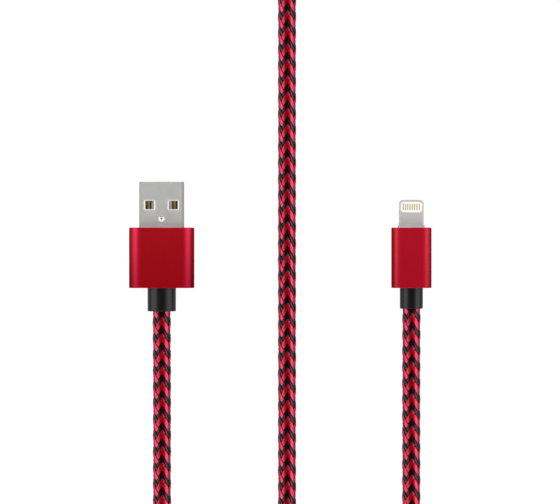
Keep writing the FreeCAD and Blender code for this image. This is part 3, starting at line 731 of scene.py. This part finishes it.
class Finish(Network):
    """A material with one shader."""

    def __init__(self, name, **surface):
        self.material = bpy.data.materials.new(name)
        self.material.use_nodes = True
        super().__init__(self.material.node_tree)
        self.shader = next(n for n in self.tree.nodes if n.type == "BSDF_PRINCIPLED")
        self.surface(**surface)

    def surface(self, **sockets):
        """Sets or links the shader's own sockets, named with underscores for spaces."""
        self.fill(self.shader, {key.replace("_", " "): value for key, value in sockets.items()})

    def place(self, x=1.0, y=1.0, z=1.0):
        """The place on the object in millimetres, stretched along each axis."""
        where = self.node("TexCoord", output="Object")
        return self.node("VectorMath", {"operation": "MULTIPLY"},
                         {0: where, 1: (x / MM, y / MM, z / MM)})

    def across(self):
        """How far right of the USB plug's middle a place is, in millimetres."""
        return self.parts(self.place())[0]

    def facing(self, axis):
        """1 where the surface looks along an axis, either way, and 0 where it lies along it."""
        normal = self.node("TexCoord", output="Normal")
        return abs(self.parts(normal)["XYZ".index(axis)])

    def noise(self, scale, detail=2.0, place=None):
        """An even random pattern, on the place on the object if no other is given."""
        return self.node("TexNoise", {}, {
            "Vector": place or self.place(), "Scale": scale, "Detail": detail})

    def mix(self, factor, first, second):
        """A colour between two, by a factor from 0 to 1."""
        return self.node("Mix", {"data_type": "RGBA"},
                         {"Factor": factor, MIX_FIRST: first, MIX_SECOND: second}, MIX_RESULT)

    def bump(self, height, depth_mm):
        """Tilts the surface as relief of that depth would."""
        self.surface(Normal=self.node("Bump", {}, {"Distance": depth_mm * MM, "Height": height},
                                      "Normal"))

    def dress(self, *pieces):
        """Gives pieces this material, in place of any they have."""
        for piece in pieces:
            piece.data.materials.clear()
            piece.data.materials.append(self.material)


print("a finish's patterns are measured in millimetres")

# %% [markdown]
# ## Colours and pairs
#
# The numbers of a colour on a screen follow a curve that suits the eye, but
# Blender reckons in amounts of light. So colours are written as a screen shows
# them, and one function turns them into light. Both plugs are built alike, so
# another function finds the same piece in both.

# %% Colours and pairs of pieces
def rgb(red, green, blue):
    """A colour as a screen shows it, 0 to 255, turned into light."""
    def light(level):
        share = level / 255
        return share / 12.92 if share <= 0.04045 else ((share + 0.055) / 1.055) ** 2.4
    return (light(red), light(green), light(blue), 1.0)


def dimmed(colour, share):
    """A colour with only a share of its light."""
    return tuple(level * share for level in colour[:3]) + (1.0,)


def one(piece):
    """A piece of the eight-pin plug, in a list of its own."""
    return [nodes["connector_" + piece]]


def both(piece):
    """The same piece of both plugs."""
    return [nodes["usb_" + piece]] + one(piece)


BLACK, WHITE = rgb(0, 0, 0), rgb(255, 255, 255)
print("middle grey gives %.2f of white's light" % rgb(128, 128, 128)[0])

# %% [markdown]
# ## Nylon yarn
#
# Each strand is two flat bundles of shiny nylon filaments, side by side. They
# make fine lines along the strand and a faint groove down its middle, which
# also gets a painted shade. Nylon is half clear, so light comes back out of it
# coloured, almost as from a red metal: a plain plastic finish would look
# chalky. So the red yarn is mostly metallic, under a clear coat for the white
# glint of each filament. Towards its edges, where it turns under the next one,
# a strand is painted darker as painted shade and has no coat. The black yarn is
# tighter, so only the middle of its strands shines. Where its surface turns
# aside the yarn is painted pinker, a painted highlight, which the surface's own
# direction finds. A little sheen stands for the loose fibres.

# %% The two yarns
FILAMENT_LENGTH_MM, FILAMENTS_ACROSS = 2.9, 22
GROOVE_WIDTH = 0.2
# The tone lightens the colour, mostly as painted highlight; the edge and the groove darken it as
# painted shade
TONE_LIGHTER, FILAMENTS_LIGHTER, EDGE_PAINTED_SHADE, GROOVE_PAINTED_SHADE = 0.6, 0.6, 1.15, 0.3
SHADE_RANGE = (-0.55, 0.95)
# How far up the surface looks, below which the painted pink highlight is full and above which it is
# gone
LOOKS_UP = (0.8, 0.98)
YARN_ROUGHNESS = 0.2
FILAMENTS_HEIGHT, GROOVE_DEPTH = 0.5, 0.4


def yarn_finish(name, light_colour, side_highlight_colour, deep_and_shade_colour, coat, flat_part, **surface):
    """A yarn painted paler by its strand's tone, and pinker where it turns aside, as painted
    highlight.

    The flat part says how far out from the middle, 0 to 1, a strand's painted edge shade begins and
    ends.
    """
    finish = Finish(name, Coat_Roughness=0.2, Sheen_Roughness=0.4, **surface)
    along, across, _ = finish.parts(finish.node("UVMap", {"uv_map": "yarn"}))
    fibre_place = finish.node("CombineXYZ", {}, {
        0: along * (1 / FILAMENT_LENGTH_MM), 1: across * (FILAMENTS_ACROSS / 2)})
    filaments = finish.noise(1.0, detail=3.0, place=fibre_place)
    # painted shade: each strand is darker towards its edges, where it turns under the next
    edge = abs(across).step(*flat_part)
    # painted shade in the groove down a strand's middle, which the bump also sinks
    groove = (1 - abs(across) * (1 / GROOVE_WIDTH)).step(0, 1)
    # painted highlight: one way of strands has a paler tone for the shine of its filaments
    tone = finish.node("Attribute", {"attribute_name": "tone"}, {}, "Fac")
    shade = (tone * TONE_LIGHTER + filaments * FILAMENTS_LIGHTER
             - edge * EDGE_PAINTED_SHADE - groove * GROOVE_PAINTED_SHADE)
    # painted highlight: pinker where the surface turns away from straight up
    aside = 1 - finish.facing("Z").step(*LOOKS_UP)
    lit = finish.mix(aside * tone, light_colour, side_highlight_colour)
    finish.surface(Base_Color=finish.mix(shade.step(*SHADE_RANGE), deep_and_shade_colour, lit),
                   Roughness=YARN_ROUGHNESS * (filaments + 1),
                   Coat_Weight=(tone + 1) * (1 - edge) * (coat / 2))
    finish.bump(filaments * FILAMENTS_HEIGHT - groove * GROOVE_DEPTH, depth_mm=0.02)
    return finish


red_yarn = yarn_finish(
    "red_yarn", light_colour=rgb(234, 2, 34), side_highlight_colour=rgb(208, 18, 76),
    deep_and_shade_colour=rgb(60, 0, 6), coat=0.95, flat_part=(0.6, 0.95),
    Metallic=0.72, Specular_IOR_Level=0.7, Specular_Tint=rgb(255, 60, 200),
    Coat_IOR=1.6, Sheen_Weight=0.35, Sheen_Tint=rgb(255, 90, 150))
black_yarn = yarn_finish(
    "black_yarn", light_colour=rgb(2, 2, 3), side_highlight_colour=rgb(4, 2, 4),
    deep_and_shade_colour=rgb(1, 1, 1), coat=1.0, flat_part=(0.25, 0.8),
    Specular_IOR_Level=0.16, Specular_Tint=rgb(255, 170, 215),
    Sheen_Weight=0.4, Sheen_Tint=rgb(255, 130, 180))
red_yarn.dress(braid_red)
black_yarn.dress(braid_black)
print("yarns:", red_yarn.material.name, "and", black_yarn.material.name)

# %% [markdown]
# ## Plastic and rubber
#
# The cord's jacket, the black collars and the white insert of the eight-pin
# tip are moulded. So are the inner mouldings and the insulation of the four
# coloured wires. They don't show on a closed plug, but the part can be taken
# apart on a screen. The board and what it carries get the same kind of finish.
# All differ in colour and in gloss, and each has the faint uneven skin that a
# mould leaves. The collars are softer than hard plastic, so they reflect less.

# %% Moulded plastics
CLOUDS_PER_MM = 0.12
CLOUD_SHARE = 0.6
CLOUD_RANGE = (0.25, 0.75)


def plastic_finish(name, colour, roughness, grain_mm, depth_mm=0.004, dimmest=0.82, level=0.5):
    """Plastic with a fine grain, and clouds in which its colour falls to a dimmest share."""
    finish = Finish(name, Specular_IOR_Level=level)
    grain = finish.noise(1 / grain_mm, detail=3.0)
    cloud = finish.noise(CLOUDS_PER_MM, detail=1.0)
    spread = (grain * (1 - CLOUD_SHARE) + cloud * CLOUD_SHARE).step(*CLOUD_RANGE)
    finish.surface(Base_Color=finish.mix(spread, dimmed(colour, dimmest), colour),
                   Roughness=grain.around(roughness, 0.06))
    finish.bump(grain, depth_mm)
    return finish


# name, pieces, colour, roughness, grain and its depth in mm, dimmest share, level of reflection
PLASTICS = [
    ("jacket_plastic", [cord_jacket] + both("jacket_end"), rgb(12, 8, 10), 0.6, 0.35),
    ("collar_plastic", both("collar"), rgb(16, 16, 17), 0.28, 0.25, 0.003, 0.82, 0.42),
    ("insert_plastic", one("insert"), rgb(240, 238, 230), 0.42, 0.3, 0.003, 0.94),
    ("white_mould", both("inner_mould"), rgb(214, 212, 206), 0.6, 0.6, 0.01, 0.91),
    ("chip_plastic", one("chip"), rgb(30, 30, 32), 0.6, 0.1),
    ("capacitor_ceramic", one("capacitors"), rgb(168, 132, 92), 0.5, 0.1, 0.003),
    ("board_green", one("board"), rgb(24, 92, 58), 0.35, 0.5, 0.003),
    ("red_insulation", both("wire_red"), rgb(186, 30, 28), 0.4, 0.4),
    ("white_insulation", both("wire_white"), rgb(226, 226, 220), 0.4, 0.4),
    ("green_insulation", both("wire_green"), rgb(40, 132, 66), 0.4, 0.4),
    ("black_insulation", both("wire_black"), rgb(26, 26, 28), 0.4, 0.4),
]
for name, pieces, *recipe in PLASTICS:
    plastic_finish(name, *recipe).dress(*pieces)
print("plastics:", len(PLASTICS), "finishes")

# %% [markdown]
# ## The white insulator in the USB plug
#
# The insulator shows in two places: through the windows, and as the round peg
# that locks it to the shell. Its contacts lie in sunken channels, and the peg
# has a slot and a dimple from the mould. These hollows are found by their
# height and painted darker, as painted shade.

# %% Insulator with painted shade in its hollows
# Heights and places in millimetres, each as where a mask begins and is full
CHANNEL_DEPTH = (3.74, 4.0)
CHANNELS_END = (16.4, 16.5)
MARK_BOTTOM, MARK_DEPTH = (6.1, 6.12), (6.16, 6.28)

insulator = Finish("white_insulator")
_, insulator_y, insulator_z = insulator.parts(insulator.place())
skin = insulator.noise(3.3, detail=3.0)
# painted shade: the channel floors, and the peg's slot and dimple, are darker
channel_shade = (1 - insulator_z.step(*CHANNEL_DEPTH)) * (1 - insulator_y.step(*CHANNELS_END))
mark_shade = insulator_z.step(*MARK_BOTTOM) * (1 - insulator_z.step(*MARK_DEPTH))
plain = insulator.mix(skin, rgb(228, 226, 222), rgb(244, 242, 238))
shaded = insulator.mix(channel_shade, plain, rgb(88, 64, 28))
insulator.surface(Base_Color=insulator.mix(mark_shade, shaded, rgb(118, 116, 112)),
                  Roughness=skin.around(0.42, 0.06))
insulator.bump(skin, depth_mm=0.003)
insulator.dress(nodes["usb_tongue"])
print("insulator: channels below %.1f mm are shaded" % CHANNEL_DEPTH[1])

# %% [markdown]
# ## Anodised aluminium
#
# The housings are drawn aluminium, blasted with fine beads and anodised red.
# The dyed metal gives a broad soft gloss in its own deep red, and the hard
# clear skin on top adds a thin pale reflection. So the surface is a red metal
# with a light coat. Where the rounded sides turn away the red is painted
# pinker, a painted highlight, and on the sides it is painted deeper, a painted
# shade. It is deepest on the cut ends, which then throw less red light on the
# steel shell. Fresnel could do that by the angle of view, but then it couldn't
# be stored with the model, so the surface's own direction says it here. Towards
# the collar the red is painted darker, a painted shade, and the skin is less
# glossy. The two housings come from different batches, so each has its own
# reds. The grain of the beads shows as a slight sparkle.

# %% Red aluminium
BEADS_PER_MM = 9.0
BEAD_SHARE = 0.6
BEAD_SHADE = 0.11
NOISE_RANGE = (0.3, 0.7)
CUT_END_RED = rgb(120, 8, 18)
# How far a face is turned to the side, from 0 to 1, where each colour begins and is full: the
# painted highlight, the painted shade and the cut end
ROUND_CORNER, SIDE_FACE, CUT_END = (0.1, 0.4), (0.42, 0.66), (0.8, 0.95)
FLAT_FALL, ROUND_FALL = 0.16, 0.3
COAT_IN_FRONT, COAT_LOST, COAT_ENDS = 0.4, 0.36, (0.6, 0.95)
COAT_AT_MOUTH = 1.3


def anodised_finish(name, housing, front, turning_highlight, side, fall):
    """Dyed aluminium, by the colours of its faces that look up, turn away (painted highlight) and
    look aside (painted shade).

    Fall is how much it is painted darker, as painted shade, from the mouth of the housing to its
    collar.
    """
    finish = Finish(name, Metallic=0.9, Specular_Tint=rgb(110, 16, 30), Coat_Roughness=0.3)
    beads = finish.noise(BEADS_PER_MM)
    draw_lines = finish.noise(1.0, place=finish.place(x=6.0, y=0.15, z=6.0))
    bead_tone = (beads * BEAD_SHARE + draw_lines * (1 - BEAD_SHARE)).step(*NOISE_RANGE)
    aside, endward = finish.facing("X"), finish.facing("Y")
    # painted highlight: pinker where the rounded sides turn away
    rounding = aside.step(*ROUND_CORNER)
    # painted shade: deeper red where the faces look aside
    dye_highlight_and_shade = finish.mix(aside.step(*SIDE_FACE), finish.mix(rounding, front, turning_highlight), side)
    # the cut ends darkest, so that they throw less red light on the steel
    dye_highlight_and_shade = finish.mix(endward.step(*CUT_END), dye_highlight_and_shade, CUT_END_RED)
    low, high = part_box(housing)
    length_up = finish.parts(finish.place())[1]
    down = (high.y / MM - length_up) * (fall * MM / (high.y - low.y))
    # painted shade: darker towards the collar, most on the rounded sides
    dye_highlight_and_shade = finish.mix(down * (FLAT_FALL + rounding * ROUND_FALL), dye_highlight_and_shade, BLACK)
    darker = finish.mix(BEAD_SHADE, dye_highlight_and_shade, BLACK)
    coat = COAT_IN_FRONT - aside.step(*COAT_ENDS) * COAT_LOST
    finish.surface(Base_Color=finish.mix(bead_tone, darker, dye_highlight_and_shade), Roughness=beads.around(0.5, 0.04),
                   Coat_Weight=coat * (COAT_AT_MOUTH - down))
    finish.bump(beads, depth_mm=0.003)
    return finish


# plug: colours in front, where it turns (painted highlight) and at the side (painted shade), and
# how much it falls (painted shade)
HOUSINGS = {
    "usb": (rgb(230, 20, 37), rgb(232, 22, 78), rgb(202, 15, 38), 1.0),
    "connector": (rgb(244, 25, 51), rgb(210, 16, 54), rgb(194, 12, 32), 0.5),
}
for plug, recipe in HOUSINGS.items():
    housing = plug + "_housing"
    anodised_finish(plug + "_aluminium", housing, *recipe).dress(nodes[housing])
print("aluminium: beads of about %.2f mm" % (1 / BEADS_PER_MM))

# %% [markdown]
# ## Steel, solder and foil
#
# The USB shell is bright rolled steel: fine lines run along the sheet, with a
# faint cloudiness, and its folded sides are painted darker, as painted shade.
# The eight-pin tip is a satin casting, so its grain has no direction, and its
# rounded rim is painted darker, as painted shade. Inside lie drawn steel, dull
# solder and the foil round the core. One finish serves all of them: the stretch
# of its grain goes into it, and so does a function that finds where to paint
# shade.

# %% Metals
# the share of light that the painted shade leaves on the folds and the rim
FOLD_PAINTED_SHADE = 0.5
FOLD_STARTS, FOLD_FULL = 5.4, 5.7
RIM_TURNS = (0.6, 0.95)
NO_STRETCH = (1.0, 1.0, 1.0)


def metal_finish(name, colour, darker, roughness, stretch, scale, depth_mm, painted_shade=None):
    """Stretch below 1 along an axis draws the grain out along it. Painted shade finds where shade
    is painted.
    """
    finish = Finish(name, Metallic=1.0)
    grain = finish.noise(scale, detail=3.0, place=finish.place(*stretch))
    cloud = finish.noise(0.35)
    tone = finish.mix((grain * 0.5 + cloud * 0.5).step(*NOISE_RANGE), darker, colour)
    # painted shade where the function finds it
    if painted_shade:
        tone = finish.mix(painted_shade(finish), tone, dimmed(darker, FOLD_PAINTED_SHADE))
    finish.surface(Base_Color=tone, Roughness=grain.around(roughness, 0.05))
    finish.bump(grain, depth_mm)
    return finish


def side_folds(finish):
    """The USB shell's two sides, painted with shade, by how many millimetres they are from its
    middle.
    """
    return abs(finish.across()).step(FOLD_STARTS, FOLD_FULL)


def rounded_rim(finish):
    """The tip's rounded rim, painted with shade, by where its surface turns away from straight up.
    """
    return 1 - finish.facing("Z").step(*RIM_TURNS)


# name, pieces, colour, darker colour, roughness, stretch, grains per mm, depth in mm, where shade
# is painted
METALS = [
    ("shell_steel", [nodes["usb_shell"]], rgb(255, 254, 251), rgb(246, 245, 242), 0.56,
     (4.0, 0.25, 4.0), 2.0, 0.002, side_folds),
    ("tip_steel", one("tip_frame"), rgb(254, 253, 253), rgb(246, 245, 246), 0.62,
     NO_STRETCH, 8.0, 0.002, rounded_rim),
    ("can_steel", one("shield_can") + both("crimp"), rgb(150, 152, 154), rgb(128, 130, 133), 0.35,
     (1.0, 0.2, 1.0), 6.0, 0.002),
    ("solder", both("solder_joints"), rgb(176, 178, 182), rgb(140, 142, 148), 0.3,
     NO_STRETCH, 3.0, 0.002),
    ("foil", both("core_end"), rgb(196, 198, 200), rgb(160, 163, 168), 0.3,
     (1.0, 0.4, 1.0), 3.0, 0.02),
]
for name, pieces, *recipe in METALS:
    metal_finish(name, *recipe).dress(*pieces)
print("metals:", len(METALS), "finishes")

# %% [markdown]
# ## Gold contacts
#
# The contacts are gold over nickel, painted brown along their edges as painted
# shade, where they meet the plastic round them; on the tip's contacts it lies on
# one side only. The edges could be painted in a picture. Here they are found by
# how far across the plug a place is, which keeps them sharp at any size.

# %% Gold contacts
PIN_MIDDLE, PIN_SPREAD, PIN_EDGE = 2.25, 1.25, (0.1, 0.45)
TIP_PIN_START, TIP_PIN_PITCH, TIP_PIN_EDGE = 65.168, 0.615, (0.16, 0.34)


def gold_finish(name, metallic, colour, darker, edge_shade_colour, edges):
    """Gold plating, with the edge colour painted as shade where the last argument finds edges."""
    finish = Finish(name, Metallic=metallic)
    grain = finish.noise(8.0, detail=3.0, place=finish.place(y=0.3))
    plating = finish.mix(grain, darker, colour)
    finish.surface(Base_Color=finish.mix(edges(finish), plating, edge_shade_colour),
                   Roughness=grain.around(0.55, 0.05))
    finish.bump(grain, depth_mm=0.002)
    return finish


def usb_pin_edges(finish):
    """Two contacts lie on each side, PIN_SPREAD nearer and further than PIN_MIDDLE."""
    from_pin = abs(abs(abs(finish.across()) - PIN_MIDDLE) - PIN_SPREAD)
    # painted shade: brown on both edges of each contact
    return from_pin.step(*PIN_EDGE)


def tip_pin_edges(finish):
    """The tip's contacts lie at even steps, so a place counts by its share of a step."""
    on_pin = ((finish.across() - TIP_PIN_START) * (1 / TIP_PIN_PITCH)).fraction()
    # painted shadow: brown on one side of each contact
    return 1 - on_pin.step(*TIP_PIN_EDGE)


gold = gold_finish("gold", 0.65, rgb(255, 226, 154), rgb(240, 196, 116), rgb(146, 106, 52),
                   usb_pin_edges)
pale_gold = gold_finish("pale_gold", 0.35, rgb(252, 242, 212), rgb(240, 224, 186),
                        rgb(140, 118, 74), tip_pin_edges)
gold.dress(*[nodes["usb_contact_" + pin] for pin in ("power", "data_minus", "data_plus", "ground")])
pale_gold.dress(*one("front_contacts"), *one("back_contacts"))
print("gold: contacts at %.2f mm steps in the tip" % TIP_PIN_PITCH)

# %% [markdown]
# ## Where the braid ends inside the plugs
#
# The last few millimetres of the braid are hidden in each collar. They are a
# short sleeve in the frame, so a finish alone gives them the two colours, as
# slanting stripes round the cord.

# %% Braided sleeve ends
STRIPE_SLANT, STRIPE_PACE = 1.2, 1.4
STRIPE_EDGE, FUZZ_SHARE = (0.1, 0.5), 0.6

sleeve = Finish("sleeve_braid", Roughness=0.6)
_, sleeve_y, sleeve_z = sleeve.parts(sleeve.place())
stripe = ((sleeve_y + sleeve_z * STRIPE_SLANT) * STRIPE_PACE).wave()
fuzz = sleeve.noise(3.0, detail=3.0)
sleeve.surface(Base_Color=sleeve.mix((stripe + fuzz * FUZZ_SHARE).step(*STRIPE_EDGE),
                                     rgb(16, 15, 18), rgb(160, 8, 30)))
sleeve.bump(stripe + fuzz, depth_mm=0.03)
sleeve.dress(*both("sleeve_end"))
print("sleeve ends: stripes %.1f mm wide" % (math.pi / STRIPE_PACE))

# %% [markdown]
# ## The strap's fabric
#
# The strap is a black woven tape with a brushed face. Its weave is a sine in
# each direction, crossed, and the brushed fibres are a fine noise on top.

# %% Woven strap
WARP_PACE, WEFT_PACE = 14, 11
WEAVE_SHARE, WEAVE_RANGE = 0.3, (0.2, 0.9)

fabric = Finish("strap_fabric", Sheen_Weight=0.5, Sheen_Roughness=0.5, Roughness=0.85)
strap_along, strap_across, _ = fabric.parts(fabric.node("UVMap", {"uv_map": "yarn"}))
warp = (strap_across * WARP_PACE).wave()
weft = (strap_along * WEFT_PACE).wave()
nap = fabric.noise(7.0, detail=4.0)
weave = warp * weft * WEAVE_SHARE + nap
fabric.surface(Base_Color=fabric.mix(weave.step(*WEAVE_RANGE), rgb(12, 12, 14), rgb(44, 44, 48)))
fabric.bump(weave, depth_mm=0.08)
fabric.dress(hank_strap)
print("strap: %.2f mm between its threads" % (math.pi / WARP_PACE))

# %% [markdown]
# ## Putting the new pieces on the frame
#
# The new pieces ride on the frame's root body. The braids stand for the cord's
# plain tubes, and the strap for its plain band, so those are hidden. The pieces
# that hang on the cord are listed.

for piece in (braid_red, braid_black, cord_jacket, hank_strap):
    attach(piece, "root")
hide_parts("cord_lead", "cord_hank", "cord_tail")
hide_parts("hank_tie")

on_the_cord = [nodes[name] for name in sorted(nodes) if name.startswith("connector_")]
on_the_cord += [braid_black, cord_jacket, hank_strap]
print("on the cord:", len(on_the_cord), "pieces")

# %% [markdown]
# ## The table
#
# The photograph's ground is pure white. If the lamps made it white, the cable
# would be far too bright, so the table gives off some light of its own, but
# only to the camera and, dimmer, to what mirrors it. The rest of it is a matt
# surface, which still takes the cable's shadow. Next to the cable that shadow
# is very faint in the photograph, as it is here.

# %% A white table that keeps a shadow
TABLE_HALF = 1.5
TABLE_DROP = 0.00002
TABLE_GREY = (0.22, 0.22, 0.22, 1.0)
TABLE_GLOW = 0.86
TABLE_MIRRORED = 0.2

table_mesh = bpy.data.meshes.new("table")
table_mesh.from_pydata([(x * TABLE_HALF, y * TABLE_HALF, -TABLE_DROP)
                        for x, y in ((-1, -1), (1, -1), (1, 1), (-1, 1))], [], [(0, 1, 2, 3)])
table = add_object("table", table_mesh, smooth=False)

table_white = Finish("table_white", Base_Color=TABLE_GREY, Roughness=1.0,
                     Specular_IOR_Level=0.0)
seen, mirrored = table_white.rays()
glow = table_white.node("Emission", {}, {
    "Strength": (seen + mirrored * TABLE_MIRRORED) * TABLE_GLOW})
shaded_and_glowing = table_white.node("AddShader", {}, {
    0: Link(table_white, table_white.shader.outputs[0]), 1: glow})
result = next(n for n in table_white.tree.nodes if n.type == "OUTPUT_MATERIAL")
table_white.fill(result, {"Surface": shaded_and_glowing})
table_white.dress(table)
print("table glow:", TABLE_GLOW)

# %% [markdown]
# ## The room
#
# The cable lies in a pale room, with one dark patch straight overhead where a
# photographer's camera would hang. Flat metal faces mirror that patch, so they
# are deep in colour, and what turns aside mirrors the pale walls. As light on
# matt surfaces the room is even and white, so that a colour comes out about as
# it is written. To the camera it is plain white.

# %% Paint the room
WALLS, CEILING, OVERHEAD = 0.85, 0.95, 0.04
# How steeply up one looks, from 0 to 1, where the ceiling and the dark patch begin
CEILING_STARTS, OVERHEAD_STARTS = (0.25, 0.8), (0.66, 0.92)
ROOM_LIGHT = 1.1

world = bpy.data.worlds.new("studio")
scene.world = world
world.use_nodes = True
room = Network(world.node_tree)
upward = room.parts(room.node("TexCoord", output="Generated"))[2]
brightness = (WALLS - upward.step(*CEILING_STARTS) * (WALLS - CEILING)
              - upward.step(*OVERHEAD_STARTS) * (CEILING - OVERHEAD))
seen, mirrored = room.rays()
paint = world.node_tree.nodes["Background"]
room.fill(paint, {"Color": WHITE,
                  "Strength": seen + mirrored * brightness + (1 - seen - mirrored) * ROOM_LIGHT})
print("room: %.2f of white at the ceiling" % CEILING)

# %% [markdown]
# ## The lamps
#
# Two long and wide lamps stand left and right of the cable, low down, at
# sixty-seven degrees from straight up. The rounded sides of the housings
# mirror them where they are tilted by half of that. In the photograph the
# bright bands lie there, and they are broad and soft, so the lamps are wide.

# %% Two long lamps
LAMP_TILT = math.radians(67.0)
LAMP_DISTANCE = 0.60
LAMP_WIDTH, LAMP_LENGTH = 0.50, 0.90
LAMP_RADIANCE = 0.75

for lamp_name, side in (("lamp_left", -1), ("lamp_right", 1)):
    lamp = bpy.data.lights.new(lamp_name, "AREA")
    lamp.shape = "RECTANGLE"
    lamp.size, lamp.size_y = LAMP_WIDTH, LAMP_LENGTH
    lamp.energy = LAMP_RADIANCE * math.pi * LAMP_WIDTH * LAMP_LENGTH
    lamp_object = bpy.data.objects.new(lamp_name, lamp)
    lamp_object.location = (camera_x + side * LAMP_DISTANCE * math.sin(LAMP_TILT), camera_y,
                            LAMP_DISTANCE * math.cos(LAMP_TILT))
    lamp_object.rotation_euler = (0, side * LAMP_TILT, 0)
    scene.collection.objects.link(lamp_object)
print("lamps: %.0f degrees from straight up" % math.degrees(LAMP_TILT))
